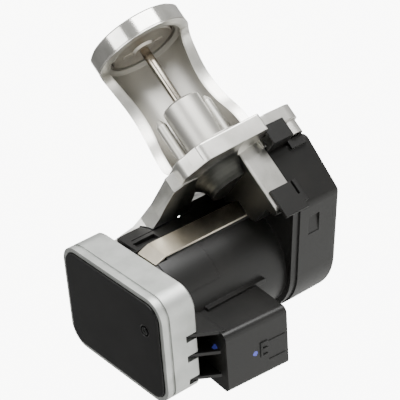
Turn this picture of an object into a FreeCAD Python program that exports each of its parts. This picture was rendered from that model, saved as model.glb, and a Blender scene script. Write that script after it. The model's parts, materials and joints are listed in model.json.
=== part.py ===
import FreeCAD, Part
import math
import os
from FreeCAD import Vector, Rotation, Placement

# Electric exhaust gas recirculation valve, in millimetres.
# +Z runs along the valve stem from the flange to the free end of the tube.
# X is the motor axis: electronics box at -X, gear cover at +X.
# The origin is the centre of the flange face that the tube stands on.

os.makedirs("parts", exist_ok=True)

# Fits and clearances
FIT = 0.05
RUN = 0.05
GAP = 0.3

# Tube with its side window
TUBE_R = 24.0
TUBE_WALL = 4.5
TUBE_BORE_R = TUBE_R - TUBE_WALL
TUBE_TOP = 68.0
RING_Z = 59.5
FOOT_STEP = 4.0
PILOT_R = TUBE_R - FOOT_STEP
PILOT_H = 2.4
FOOT_ROUND = 4.0
LEDGE_Z = 59.8
LEDGE_W = 2.0
LEDGE_R = TUBE_BORE_R - LEDGE_W
LEDGE_H = 1.6
WINDOW_TURN = 25.0
RIB_TURN = 16.0
WINDOW_TOP = RING_Z - 0.8
WINDOW_CURVE = [(-6.0, WINDOW_TOP), (0.0, WINDOW_TOP - 0.3), (4.0, 57.6), (7.0, 54.7), (9.0, 50.0), (10.8, 43.0),
                (11.5, 35.5), (11.0, 28.0), (9.2, 21.0), (6.2, 14.0), (4.3, 8.0), (3.5, PILOT_H)]

# Stem guide inside the tube
BOSS_R = 9.6
BOSS_TOP = 28.0
RIB_R = 2.6
RIB_TOP = 26.5
RIB_X = 12.3
RIB_Y = 4.0
BUSH_R = 4.6
BUSH_L = 14.0
SEAL_R = 4.4
SEAL_L = 3.0
STEM_R = 2.25

# Valve disc and seat
END_WALL = 3.0
SEAT_R = TUBE_R - END_WALL
SEAT_H = 3.6
SEAT_W = 4.6
SEAT_BORE_R = SEAT_R - SEAT_W
SEAT_CONE = 1.8
DISC_RIM = 1.3
DISC_PAD_X = 8.0
LIFT = 7.0

# Return spring
SPRING_TOP = 8.0
SPRING_R = 4.3
SPRING_WIRE = 1.3
SPRING_TURNS = 4.0
CHAMBER_R = 7.0
HUB_TOP = -9.5
HUB_H = 4.5
HUB_R = 5.8

# Flange
FLANGE_T = 8.6
BOLT_X = 30.5
BOLT_SPACING = 34.0
BOLT_HOLE_R = 2.75
BOLT_BOSS_R = 4.6
BOLT_BOSS_L = 14.0
LUG_T = 7.0

# Neck between the flange and the gear case
NECK_TOP_R = 22.0
NECK_LOW_R = 12.0
NECK_LOW_Z = -18.0

# Gear case
CASE_FRONT = -17.0
CASE_X0 = 0.0
CASE_X1 = 13.3
CASE_LOW_Z = -42.0
CAVITY_X0 = 2.0
PLATE_X0 = 9.0
CAVITY_FRONT = -9.0
CAVITY_BACK = 3.0
CAVITY_LOW = -35.0
CAVITY_TOP = -5.2
DOOR_TOP = -14.5

# Motor axis and its roll about X
MOTOR_Y = 35.7
MOTOR_Z = -40.4
ROLL = 38.3
BODY_R = 26.5
BODY_WALL = 4.5
BODY_BORE_R = BODY_R - BODY_WALL
BODY_X0 = -52.0
BODY_END_T = 3.5
SHOULDER_SINK = 0.2
SHOULDER_V = BODY_R - SHOULDER_SINK
SHOULDER_U0 = -19.0
SHOULDER_U1 = 9.0

# Motor
CAN_GAP = 0.5
CAN_R = BODY_BORE_R - CAN_GAP
CAN_T = 1.2
CAN_X0 = -47.0
CAN_X1 = 7.0
MAGNET_T = 3.0
ROTOR_GAP = 0.7
ARMATURE_R = CAN_R - CAN_T - MAGNET_T - ROTOR_GAP
ARMATURE_X0 = -30.0
ARMATURE_X1 = -2.0
ROTOR_SHAFT_R = 2.5
COMM_R = 6.5
BEARING_R = 5.5
BEARING_L = 4.0

# Crank and gears
OUT_Y = 2.5
OUT_Z = -26.5
CRANK_R = 6.1
CRANK_SWING = math.degrees(math.asin(LIFT / 2 / CRANK_R))
ROLLER_R = 2.5
SLOT_PLAY = 0.15
YOKE_X0 = 2.7
YOKE_X1 = 5.5
CRANK_X0 = 6.2
CRANK_X1 = 8.2
SHAFT_R = 3.5
OUT_BUSH_R = 5.0
MODULE = 0.8
OUT_TEETH = 40
SMALL_TEETH = 12
LARGE_TEETH = 30
PINION_TEETH = 11
SECTOR_HALF = 47.0
TOOTH_PLAY = 0.11
GEAR_X0 = 17.0
GEAR_FACE = 5.0
LARGE_FACE = 4.5
AXLE_R = 2.0

# Gear cover
COVER_X0 = 13.5
COVER_X1 = 38.5
COVER_WALL = 2.2
COVER_STEP = 3.5
COVER_R = BODY_R + COVER_STEP
COVER_TOP_FRONT = (-17.3, -13.0)
COVER_LOW_FRONT = (-13.6, -44.5)
COVER_EDGE_R = 3.0
TAB_Y = -25.4
TAB_T = 1.6
SEAL_W = 0.9
SEAL_D = 1.0

# Electronics box
BOX_X0 = -70.5
BOX_X1 = -52.0
BOX_HALF_U = 36.3
BOX_HALF_V = 27.35
BOX_CORNER = 10.0
BOX_CENTRE_U = 1.25
BOX_CENTRE_V = 1.0
BOX_WALL = 3.2
BOX_FLOOR = 2.0
LIP_T = 2.8
LIP_GROOVE_W = 1.5
LIP_GROOVE_D = 1.0
CAP_INSET = 2.6
CAP_GAP = 0.4
CAP_T = 2.2
CAP_SINK = -0.8
BOARD_T = 1.6
BOX_STEP = 2.0
BOARD_GAP = 1.6
BOARD_HALF_U = BOX_HALF_U - BOX_WALL - BOX_STEP - BOARD_GAP
BOARD_HALF_V = BOX_HALF_V - BOX_WALL - BOX_STEP - BOARD_GAP
BOARD_X1 = BOX_X0 + 8.0
POST_R = 2.5
MARK_IN_U = 12.3
MARK_IN_V = 17.95

# Connector block on the motor housing
CONN_X0 = -43.5
CONN_X1 = -10.0
CONN_U1 = 48.0
CONN_V0 = -3.5
CONN_V1 = 28.0
CONN_TILT = 4.5
CONN_WALL = 3.0
CONN_DEPTH = 18.0
GUSSET_T = 1.6
GUSSET_X0 = -57.0
GUSSET_V = (-3.2, 7.5, 20.3)
PIN_COUNT = 5
PIN_PITCH = 4.2

# Strap clip
STRAP_T = 0.8
STRAP_U0 = -3.8
STRAP_U1 = 9.2
STRAP_X0 = -45.0
STRAP_X1 = 9.5
STRAP_LIFT = 0.2
STRAP_DROP = 2.0
STRAP_TAB = 6.0

# Ratios and places that follow from the sizes above
OUT_PITCH_R = MODULE * OUT_TEETH / 2
SMALL_PITCH_R = MODULE * SMALL_TEETH / 2
LARGE_PITCH_R = MODULE * LARGE_TEETH / 2
PINION_PITCH_R = MODULE * PINION_TEETH / 2
DIST_OUT = OUT_PITCH_R + SMALL_PITCH_R
DIST_IN = LARGE_PITCH_R + PINION_PITCH_R


def intermediate_place():
    # The intermediate gear sits where both centre distances are met.
    dy = MOTOR_Y - OUT_Y
    dz = MOTOR_Z - OUT_Z
    d = math.hypot(dy, dz)
    a = (DIST_OUT ** 2 - DIST_IN ** 2 + d * d) / (2 * d)
    h = math.sqrt(DIST_OUT ** 2 - a * a)
    return OUT_Y + (a * dy + h * dz) / d, OUT_Z + (a * dz - h * dy) / d


MID_Y, MID_Z = intermediate_place()


def cyl(r, z0, z1, x=0.0, y=0.0):
    return Part.makeCylinder(r, z1 - z0, Vector(x, y, z0))


def cyl_x(r, x0, x1, y, z):
    return Part.makeCylinder(r, x1 - x0, Vector(x0, y, z), Vector(1, 0, 0))


def ring_x(r_out, r_in, x0, x1, y, z):
    return cyl_x(r_out, x0, x1, y, z).cut(cyl_x(r_in, x0 - 1, x1 + 1, y, z))


def box(x0, x1, y0, y1, z0, z1):
    return Part.makeBox(x1 - x0, y1 - y0, z1 - z0, Vector(x0, y0, z0))


def revolve_z(points):
    wire = Part.makePolygon([Vector(r, 0, z) for r, z in points + points[:1]])
    return Part.Face(wire).revolve(Vector(0, 0, 0), Vector(0, 0, 1), 360)


def prism_z(points, z0, z1):
    wire = Part.makePolygon([Vector(x, y, z0) for x, y in points + points[:1]])
    return Part.Face(wire).extrude(Vector(0, 0, z1 - z0))


def prism_x(points, x0, x1):
    wire = Part.makePolygon([Vector(x0, y, z) for y, z in points + points[:1]])
    return Part.Face(wire).extrude(Vector(x1 - x0, 0, 0))


def to_motor(shape):
    # Local x, y, z become x, u, v: u points to the connector, v away from the strap.
    out = shape.copy()
    out.Placement = Placement(Vector(0, MOTOR_Y, MOTOR_Z), Rotation(Vector(1, 0, 0), 270.0 - ROLL)).multiply(out.Placement)
    return out


def motor_point(u, v):
    # The row's y and z of a point given in the motor's own u and v.
    s = math.sin(math.radians(ROLL))
    c = math.cos(math.radians(ROLL))
    return MOTOR_Y - s * u + c * v, MOTOR_Z - c * u - s * v


def rounded_x(x0, x1, half_y, half_z, r, cy=0.0, cz=0.0):
    # A block along X with four rounded long edges.
    body = box(x0, x1, cy - half_y, cy + half_y, cz - half_z, cz + half_z)
    edges = []
    for edge in body.Edges:
        if edge.BoundBox.XLength > (x1 - x0) * 0.9:
            edges.append(edge)
    return body.makeFillet(r, edges)


def fillet_where(shape, r, test):
    edges = []
    for edge in shape.Edges:
        if test(edge):
            edges.append(edge)
    return shape.makeFillet(r, edges)


def chamfer_where(shape, size, test):
    edges = []
    for edge in shape.Edges:
        if test(edge):
            edges.append(edge)
    return shape.makeChamfer(size, edges)


def gear(teeth, x0, x1, y, z, first, start=0.0, span=360.0):
    # Spur gear profile with involute flanks; first is the angle of one tooth.
    pitch = MODULE * teeth / 2
    base = pitch * math.cos(math.radians(20))
    tip = pitch + 0.75 * MODULE
    root = pitch - 1.05 * MODULE
    half = (math.pi * MODULE / 2 - 2 * TOOTH_PLAY) / (2 * pitch)
    inv_pitch = math.tan(math.radians(20)) - math.radians(20)
    flank = []
    for k in range(4):
        r = max(base, root) + (tip - max(base, root)) * k / 3
        a = math.acos(base / r) if r > base else 0.0
        flank.append((r, half + inv_pitch - (math.tan(a) - a)))
    if root < base:
        flank.insert(0, (root, flank[0][1]))
    points = []
    count = int(round(teeth * span / 360.0))
    for i in range(count):
        mid = math.radians(first) + 2 * math.pi * (i + start) / teeth
        for r, a in flank:
            points.append((y + r * math.cos(mid - a), z + r * math.sin(mid - a)))
        for r, a in reversed(flank):
            points.append((y + r * math.cos(mid + a), z + r * math.sin(mid + a)))
    if span < 360.0:
        points.append((y, z))
    return prism_x(points, x0, x1)


def window_cutter():
    # Side window: the wall in front of the curve goes, from the foot to the end ring.
    pts = [Vector(0, y, z) for y, z in WINDOW_CURVE]
    spline = Part.BSplineCurve()
    spline.interpolate(pts[1:])
    first = Vector(0, -2 * TUBE_R, WINDOW_TOP)
    last = Vector(0, -2 * TUBE_R, PILOT_H)
    edges = [Part.makeLine(first, pts[0]), Part.makeLine(pts[0], pts[1]), spline.toShape()]
    edges += [Part.makeLine(pts[-1], last), Part.makeLine(last, first)]
    face = Part.Face(Part.Wire(edges))
    cutter = face.extrude(Vector(4 * TUBE_R, 0, 0))
    cutter.translate(Vector(-2 * TUBE_R, 0, 0))
    cutter.rotate(Vector(0, 0, 0), Vector(0, 0, 1), -WINDOW_TURN)
    return cutter


def tube_shell():
    foot = PILOT_R
    arc = []
    for k in range(7):
        a = math.radians(90.0 * k / 6)
        arc.append((TUBE_R - FOOT_ROUND + FOOT_ROUND * math.sin(a), PILOT_H + FOOT_ROUND - FOOT_ROUND * math.cos(a)))
    seat_z = LEDGE_Z + LEDGE_H
    outer = [(0, 0), (foot, 0), (foot, PILOT_H)] + arc
    inner = [(TUBE_R, TUBE_TOP - 0.8), (TUBE_R - 0.8, TUBE_TOP), (SEAT_R + FIT, TUBE_TOP)]
    inner += [(SEAT_R + FIT, seat_z), (LEDGE_R, seat_z), (LEDGE_R, LEDGE_Z)]
    inner += [(TUBE_BORE_R, LEDGE_Z - 1.5), (TUBE_BORE_R, PILOT_H), (0, PILOT_H)]
    shell = revolve_z(outer + inner)
    groove = cyl(TUBE_R + 1, RING_Z - 0.6, RING_Z).cut(cyl(TUBE_R - 0.4, RING_Z - 1, RING_Z + 1))
    return shell.cut(groove).cut(window_cutter())


def stem_guide():
    post = cyl(BOSS_R, 0, BOSS_TOP)
    post = chamfer_where(post, 0.9, lambda e: abs(e.BoundBox.ZMin - BOSS_TOP) < 0.01 and e.BoundBox.ZLength < 0.01)
    for side in (-1, 1):
        rib = cyl(RIB_R, 0, RIB_TOP - RIB_R, side * RIB_X, RIB_Y)
        rib = rib.fuse(Part.makeCone(RIB_R, RIB_R * 0.45, RIB_R, Vector(side * RIB_X, RIB_Y, RIB_TOP - RIB_R)))
        rib.rotate(Vector(0, 0, 0), Vector(0, 0, 1), -RIB_TURN)
        post = post.fuse(rib)
    return post


def flange_plate():
    half = BOLT_SPACING / 2
    plan = [(-19.3, -24.6), (12.1, -29.5), (13.2, -28.0), (13.2, -23.0), (24.5, -23.0)]
    plan += [(24.5, 24.0), (14.0, 29.0), (-14.0, 31.0), (-24.0, 24.0), (-25.5, 8.0), (-26.5, -3.1), (-27.7, -12.6)]
    plate = prism_z(plan, -FLANGE_T, 0)
    corners = {(-19.3, -24.6): 5.0, (-27.7, -12.6): 5.0, (12.1, -29.5): 1.0}
    for (px, py), r in corners.items():
        plate = fillet_where(plate, r, lambda e: e.BoundBox.ZLength > FLANGE_T - 0.1
                             and math.hypot(e.BoundBox.XMin - px, e.BoundBox.YMin - py) < 0.05)
    plate = fillet_where(plate, 0.8, lambda e: abs(e.BoundBox.ZMin) < 0.01 and e.BoundBox.ZLength < 0.01
                         and e.BoundBox.YMax < -3.0)
    for side in (-1, 1):
        y = side * half
        lug = box(18.8, BOLT_X, y - 6.0, y + 6.0, -LUG_T, 0).fuse(cyl(6.0, -LUG_T, 0, BOLT_X, y))
        plate = plate.fuse(lug).fuse(cyl(BOLT_BOSS_R, -BOLT_BOSS_L, -LUG_T, BOLT_X, y))
    return plate


def neck():
    # Concave flare from the flange down to the gear case.
    points = [(0, -FLANGE_T), (NECK_TOP_R, -FLANGE_T)]
    drop = -FLANGE_T - NECK_LOW_Z
    run = NECK_TOP_R - NECK_LOW_R
    for k in range(1, 9):
        a = math.radians(90.0 * k / 8)
        points.append((NECK_TOP_R - run * math.sin(a), -FLANGE_T - drop * (1 - math.cos(a))))
    points.append((0, NECK_LOW_Z))
    # Flat where the gear cover stands beside it.
    return revolve_z(points).cut(box(CASE_X1, 2 * TUBE_R, -TUBE_R, TUBE_R, NECK_LOW_Z - 1, -FLANGE_T))


def arm_profile(x0, x1, extra):
    top = [(-12.0, -0.3), (-4.0, -1.6), (0.0, -2.3), (8.0, -3.2), (17.0, -4.5), (25.0, -6.0), (29.0, -7.2)]
    top += [(36.0, -8.8), (46.0, -10.0)]
    low = [(46.0, -18.0), (36.0, -17.0), (29.0, -15.4), (17.0, -12.3), (8.0, -10.6), (-12.0, -FLANGE_T)]
    points = [(y, z + extra) for y, z in top] + [(y, z - extra) for y, z in low]
    return prism_x(points, x0, x1)


def arm(extra=0.0):
    # Bracket from the flange to the electronics box, over the motor housing.
    plan = [(-26.0, -6.0), (-30.5, -3.0), (-31.2, 8.0), (-32.3, 17.0), (-36.0, 25.0), (-39.6, 29.0), (-45.0, 31.0)]
    plan += [(BOX_X1, 34.0), (BOX_X1, 45.0), (-40.0, 44.0), (-26.0, 36.0), (-14.0, 30.0), (-14.0, -6.0)]
    if extra > 0:
        plan = [(x - extra if x < -20 else x + extra, y) for x, y in plan]
    return prism_z(plan, -40, 10).common(arm_profile(-80, 40, extra))


def body_envelope(extra):
    # The room that the motor housing takes out of its neighbours.
    room = cyl_x(BODY_R + 0.5 + extra, BODY_X0 - 1, CASE_X1 + 1, MOTOR_Y, MOTOR_Z)
    flat = box(BODY_X0 - 1, CASE_X1 + 1, SHOULDER_U0 - extra, SHOULDER_U1 + extra, -SHOULDER_V - extra, 0)
    return room.fuse(to_motor(flat))


def strap_pocket():
    pocket = box(STRAP_X0, STRAP_X1 + 0.2, STRAP_U0 - GAP, STRAP_U1 + GAP, -SHOULDER_V - STRAP_LIFT - STRAP_T - GAP, -20)
    return to_motor(pocket)


def case_cavity(x0, x1, less, top):
    room = box(x0, x1, CAVITY_FRONT + less, CAVITY_BACK - less, CAVITY_LOW + less, top - less)
    return room.fuse(cyl_x(SHAFT_R + 1.6 - less, x0, x1, OUT_Y, OUT_Z))


def case_block(x0, x1, extra):
    # Gear case seen along X: thick front wall, trimmed below towards the strap, round over the shaft.
    points = [(CASE_FRONT, -FLANGE_T + 1), (CASE_FRONT, CASE_LOW_Z + 3.0), (CASE_FRONT + 1.2, CASE_LOW_Z)]
    points += [(CASE_FRONT + 3.5, CASE_LOW_Z), (CAVITY_FRONT - 1.0, CAVITY_LOW - 2.0), (CAVITY_BACK - 1.0, CAVITY_LOW - 2.0)]
    points += [(CAVITY_BACK + 2.0, CAVITY_LOW + 1.0), (CAVITY_BACK + 2.0, -24.0), (14.0, -20.0), (14.0, -FLANGE_T + 1)]
    wire = Part.makePolygon([Vector(x0, y, z) for y, z in points + points[:1]])
    face = Part.Face(wire)
    if extra > 0:
        face = face.makeOffset2D(extra, 2, False, False, True)
    return face.extrude(Vector(x1 - x0, 0, 0))


def shaft_boss(x0, x1, extra):
    return cyl_x(SHAFT_R + 3.4 + extra, x0, x1, OUT_Y, OUT_Z)


def gear_case():
    block = case_block(CASE_X0, CASE_X1, 0.0)
    block = fillet_where(block, 1.5, lambda e: e.BoundBox.XLength < 0.01 and abs(e.BoundBox.XMin - CASE_X0) < 0.01
                         and e.BoundBox.YMax < CASE_FRONT + 0.05)
    upper_lug = box(CASE_X1 - 1, 26.5, CASE_FRONT - 1.6, CASE_FRONT + 1.0, -12.6, -FLANGE_T + 1)
    return block.fuse([upper_lug, shaft_boss(CAVITY_X0 + 2.2, CASE_X1, 0.0)])


def valve_housing():
    plate_y = BOLT_SPACING / 2
    solid = tube_shell().fuse([stem_guide(), flange_plate(), neck(), gear_case(), arm()])
    solid = solid.cut(body_envelope(0.25)).cut(strap_pocket())
    solid = solid.cut(cyl(STEM_R + 0.6, NECK_LOW_Z + 3, BOSS_TOP + 1))
    solid = solid.cut(cyl(BUSH_R + FIT, BOSS_TOP - BUSH_L, BOSS_TOP + 1))
    solid = solid.cut(cyl(SEAL_R + FIT, SPRING_TOP, SPRING_TOP + SEAL_L))
    solid = solid.cut(cyl(CHAMBER_R, NECK_LOW_Z + 2.5, SPRING_TOP))
    solid = solid.cut(case_cavity(CAVITY_X0, PLATE_X0, 0.0, CAVITY_TOP))
    solid = solid.cut(case_cavity(PLATE_X0, CASE_X1 + 1, 0.0, DOOR_TOP))
    for side in (-1, 1):
        solid = solid.cut(cyl(BOLT_HOLE_R, -BOLT_BOSS_L - 1, 1, BOLT_X, side * plate_y))
    slot = box(-26.5, -21.0, -22.6, -21.6, -7.0, 1).fuse(cyl(0.5, -7.0, 1, -21.0, -22.1))
    slot.rotate(Vector(-21.0, -22.1, 0), Vector(0, 0, 1), -50)
    solid = solid.cut(slot)
    return solid.removeSplitter()


def seat_ring():
    z0 = LEDGE_Z + LEDGE_H
    z1 = z0 + SEAT_H
    points = [(SEAT_BORE_R, z0), (SEAT_R, z0), (SEAT_R, z1), (SEAT_BORE_R + SEAT_CONE, z1), (SEAT_BORE_R, z1 - SEAT_CONE)]
    return revolve_z(points)


def valve_disc():
    z1 = LEDGE_Z + LEDGE_H + SEAT_H
    cone_low = z1 - SEAT_CONE
    r = SEAT_BORE_R - GAP * 1.42
    under = LEDGE_Z + 0.4
    points = [(STEM_R + FIT, under - 1.2), (5.0, under - 1.2), (6.0, under), (r - 0.6, under), (r, under + 0.6), (r, cone_low)]
    points += [(r + SEAT_CONE, z1), (r + SEAT_CONE, z1 + DISC_RIM), (STEM_R + FIT, z1 + DISC_RIM)]
    disc = revolve_z(points)
    for side in (-1, 1):
        pad = cyl(1.6, under - 0.5, under + 0.3, side * DISC_PAD_X - 1.2, 0).fuse(cyl(1.6, under - 0.5, under + 0.3, side * DISC_PAD_X + 1.2, 0))
        pad = pad.fuse(box(side * DISC_PAD_X - 1.2, side * DISC_PAD_X + 1.2, -1.6, 1.6, under - 0.5, under + 0.3))
        pad.rotate(Vector(0, 0, 0), Vector(0, 0, 1), -RIB_TURN)
        disc = disc.fuse(pad)
    return disc.removeSplitter()


def valve_stem():
    top = LEDGE_Z + LEDGE_H + SEAT_H + DISC_RIM
    stem = cyl(STEM_R, HUB_TOP - HUB_H - 0.8, top)
    return stem.fuse(cyl(STEM_R + 0.9, top, top + 0.8)).removeSplitter()


def stem_bush():
    z1 = BOSS_TOP + 0.6
    bush = cyl(BUSH_R, BOSS_TOP - BUSH_L, z1)
    bush = chamfer_where(bush, 0.4, lambda e: abs(e.BoundBox.ZMin - z1) < 0.01 and e.BoundBox.ZLength < 0.01)
    return bush.cut(cyl(STEM_R + RUN, 0, z1 + 1))


def stem_seal():
    return cyl(SEAL_R, SPRING_TOP + FIT, SPRING_TOP + SEAL_L - FIT).cut(cyl(STEM_R + GAP, 0, BOSS_TOP))


def return_spring():
    # Round wire drawn as an eight-sided section along the helix.
    z0 = HUB_TOP + SPRING_WIRE / 2 + GAP / 2
    z1 = SPRING_TOP - SPRING_WIRE / 2 - GAP / 2
    steps = int(SPRING_TURNS * 12)
    sections = []
    for k in range(steps + 1):
        a = 2 * math.pi * SPRING_TURNS * k / steps
        ring = []
        for j in range(9):
            b = 2 * math.pi * j / 8
            r = SPRING_R + SPRING_WIRE / 2 * math.cos(b)
            z = z0 + (z1 - z0) * k / steps + SPRING_WIRE / 2 * math.sin(b)
            ring.append(Vector(r * math.cos(a), r * math.sin(a), z))
        sections.append(Part.makePolygon(ring))
    return Part.makeLoft(sections, True, True)


def roller_place():
    a = math.radians(CRANK_SWING)
    return OUT_Y - CRANK_R * math.cos(a), OUT_Z - CRANK_R * math.sin(a)


def slot_middle():
    return OUT_Y - CRANK_R * (1 + math.cos(math.radians(CRANK_SWING))) / 2


def stem_yoke():
    mid = slot_middle()
    ry, rz = roller_place()
    low = HUB_TOP - HUB_H
    slot_half = ROLLER_R + SLOT_PLAY
    reach = ROLLER_R + 0.75
    hub = cyl(HUB_R, low, HUB_TOP)
    plate = box(YOKE_X0, YOKE_X1, mid - reach - 1.5, mid + reach + 1.5, rz - slot_half - 1.6, low + 1.0)
    plate = fillet_where(plate, 2.5, lambda e: e.BoundBox.XLength > 1 and e.BoundBox.ZMax < rz)
    yoke = hub.fuse(plate)
    yoke = yoke.cut(box(YOKE_X0 - 1, YOKE_X1 + 1, mid - reach, mid + reach, rz - slot_half, rz + slot_half))
    return yoke.cut(cyl(STEM_R + FIT, low - 1, HUB_TOP + 1)).removeSplitter()


def output_shaft():
    return cyl_x(SHAFT_R, CRANK_X0, GEAR_X0 + GEAR_FACE + 3, OUT_Y, OUT_Z)


def crank_arm():
    ry, rz = roller_place()
    hub = cyl_x(SHAFT_R + 1.1, CRANK_X0, CRANK_X1, OUT_Y, OUT_Z)
    lobe = cyl_x(ROLLER_R, CRANK_X0, CRANK_X1, ry, rz)
    dy = ry - OUT_Y
    dz = rz - OUT_Z
    n = math.hypot(dy, dz)
    py = -dz / n * ROLLER_R
    pz = dy / n * ROLLER_R
    web = prism_x([(OUT_Y + py, OUT_Z + pz), (ry + py, rz + pz), (ry - py, rz - pz), (OUT_Y - py, OUT_Z - pz)], CRANK_X0, CRANK_X1)
    pin = cyl_x(1.5, YOKE_X0 + 0.1, CRANK_X1, ry, rz)
    return hub.fuse([lobe, web, pin]).cut(cyl_x(SHAFT_R + FIT, 0, CRANK_X1 + 5, OUT_Y, OUT_Z)).removeSplitter()


def crank_roller():
    ry, rz = roller_place()
    return ring_x(ROLLER_R, 1.5 + FIT, YOKE_X0 + 0.1, YOKE_X1 + 0.2, ry, rz)


def bearing_plate():
    plate = case_cavity(PLATE_X0, CASE_X1, FIT, DOOR_TOP)
    return plate.cut(cyl_x(OUT_BUSH_R - 0.9 + FIT, 0, CASE_X1 + 5, OUT_Y, OUT_Z))


def shaft_bush():
    bush = cyl_x(OUT_BUSH_R - 0.9, PLATE_X0, CASE_X1 + 1.2, OUT_Y, OUT_Z)
    bush = bush.fuse(cyl_x(OUT_BUSH_R + 0.6, CASE_X1, CASE_X1 + 1.2, OUT_Y, OUT_Z))
    return bush.cut(cyl_x(SHAFT_R + RUN, 0, CASE_X1 + 5, OUT_Y, OUT_Z)).removeSplitter()


def mesh_angle(y0, z0, y1, z1):
    return math.degrees(math.atan2(z1 - z0, y1 - y0))


def output_gear():
    # Toothed sector: the teeth cover the swing of the crank plus a margin at each end.
    angle = mesh_angle(OUT_Y, OUT_Z, MID_Y, MID_Z)
    count = int(round(OUT_TEETH * 2 * SECTOR_HALF / 360.0))
    ahead = int(round(OUT_TEETH * (SECTOR_HALF - CRANK_SWING) / 360.0))
    sector = gear(OUT_TEETH, GEAR_X0, GEAR_X0 + GEAR_FACE, OUT_Y, OUT_Z, angle, -ahead, 360.0 * count / OUT_TEETH)
    hub = cyl_x(7.0, GEAR_X0, GEAR_X0 + GEAR_FACE, OUT_Y, OUT_Z)
    raised = cyl_x(6.2, GEAR_X0 - 1.0, GEAR_X0 + GEAR_FACE + 2, OUT_Y, OUT_Z)
    body = sector.fuse(hub).fuse(raised)
    return body.cut(cyl_x(SHAFT_R + FIT, 0, COVER_X1, OUT_Y, OUT_Z)).removeSplitter()


def sensor_magnet():
    x0 = GEAR_X0 + GEAR_FACE + 2
    return ring_x(6.0, SHAFT_R + FIT, x0, x0 + 2.5, OUT_Y, OUT_Z)


def intermediate_gear():
    down = mesh_angle(MID_Y, MID_Z, OUT_Y, OUT_Z)
    up = mesh_angle(MID_Y, MID_Z, MOTOR_Y, MOTOR_Z)
    x1 = GEAR_X0 + GEAR_FACE + 0.6
    small = gear(SMALL_TEETH, GEAR_X0 - 0.4, x1, MID_Y, MID_Z, down + 180.0 / SMALL_TEETH)
    large = gear(LARGE_TEETH, x1, x1 + LARGE_FACE, MID_Y, MID_Z, up)
    return small.fuse(large).cut(cyl_x(AXLE_R + RUN, 0, COVER_X1, MID_Y, MID_Z)).removeSplitter()


def intermediate_axle():
    return cyl_x(AXLE_R, CASE_X1 - 2.5, COVER_X1 - COVER_WALL - FIT, MID_Y, MID_Z)


def motor_pinion():
    back = mesh_angle(MOTOR_Y, MOTOR_Z, MID_Y, MID_Z)
    x0 = GEAR_X0 + GEAR_FACE + 0.6
    teeth = gear(PINION_TEETH, x0 - 0.6, x0 + LARGE_FACE + 0.6, MOTOR_Y, MOTOR_Z, back + 180.0 / PINION_TEETH)
    return teeth.cut(cyl_x(ROTOR_SHAFT_R + FIT, 0, COVER_X1, MOTOR_Y, MOTOR_Z))


def motor_shaft():
    return cyl_x(ROTOR_SHAFT_R, CAN_X0 - 2, GEAR_X0 + GEAR_FACE + LARGE_FACE + 2, MOTOR_Y, MOTOR_Z)


def armature():
    core = cyl_x(ARMATURE_R, ARMATURE_X0, ARMATURE_X1, MOTOR_Y, MOTOR_Z)
    slot_r = (ROTOR_SHAFT_R + ARMATURE_R) / 2 + 0.45
    for k in range(5):
        groove = box(ARMATURE_X0 - 1, ARMATURE_X1 + 1, -1.4, 1.4, slot_r - 2.0, ARMATURE_R + 1)
        groove = groove.fuse(cyl_x(3.6, ARMATURE_X0 - 1, ARMATURE_X1 + 1, 0, slot_r))
        groove.rotate(Vector(0, 0, 0), Vector(1, 0, 0), 72.0 * k)
        groove.translate(Vector(0, MOTOR_Y, MOTOR_Z))
        core = core.cut(groove)
    return core.cut(cyl_x(ROTOR_SHAFT_R + FIT, CAN_X0, CASE_X1, MOTOR_Y, MOTOR_Z))


def commutator():
    return ring_x(COMM_R, ROTOR_SHAFT_R + FIT, ARMATURE_X0 - 9, ARMATURE_X0 - 1, MOTOR_Y, MOTOR_Z)


def brushes():
    mid = ARMATURE_X0 - 5
    pair = []
    for side in (-1, 1):
        y0 = COMM_R + GAP
        block = box(mid - 2.5, mid + 2.5, y0, y0 + 9.0, -2, 2)
        if side < 0:
            block.rotate(Vector(0, 0, 0), Vector(1, 0, 0), 180)
        pair.append(to_motor(block))
    return Part.makeCompound(pair)


def brush_card():
    x1 = ARMATURE_X0 - 5 - 2.5
    disc = ring_x(CAN_R - CAN_T - FIT, COMM_R + 1.5, x1 - 1.6, x1, MOTOR_Y, MOTOR_Z)
    return disc


def motor_can():
    can = cyl_x(CAN_R, CAN_X0, CAN_X1, MOTOR_Y, MOTOR_Z)
    can = can.cut(cyl_x(CAN_R - CAN_T, CAN_X0 + CAN_T, CAN_X1 + 1, MOTOR_Y, MOTOR_Z))
    pocket = cyl_x(BEARING_R + 1.2, CAN_X0 + CAN_T - 0.1, CAN_X0 + BEARING_L, MOTOR_Y, MOTOR_Z)
    return can.fuse(pocket).cut(cyl_x(BEARING_R + FIT, CAN_X0 - 1, CAN_X1, MOTOR_Y, MOTOR_Z)).removeSplitter()


def motor_magnets():
    shell = ring_x(CAN_R - CAN_T - FIT, CAN_R - CAN_T - FIT - MAGNET_T, ARMATURE_X0 - 1, ARMATURE_X1 + 1, 0, 0)
    pair = []
    for side in (-1, 1):
        keep = box(ARMATURE_X0 - 2, ARMATURE_X1 + 2, -15, 15, 2, CAN_R)
        if side < 0:
            keep.rotate(Vector(0, 0, 0), Vector(1, 0, 0), 180)
        arc = shell.common(keep)
        pair.append(to_motor(arc))
    return Part.makeCompound(pair)


def motor_bearings():
    rear = ring_x(BEARING_R, ROTOR_SHAFT_R + RUN, CAN_X0, CAN_X0 + BEARING_L, MOTOR_Y, MOTOR_Z)
    x1 = CASE_X1 - 0.2
    front = ring_x(BEARING_R, ROTOR_SHAFT_R + RUN, x1 - BEARING_L, x1, MOTOR_Y, MOTOR_Z)
    return Part.makeCompound([rear, front])


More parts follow.
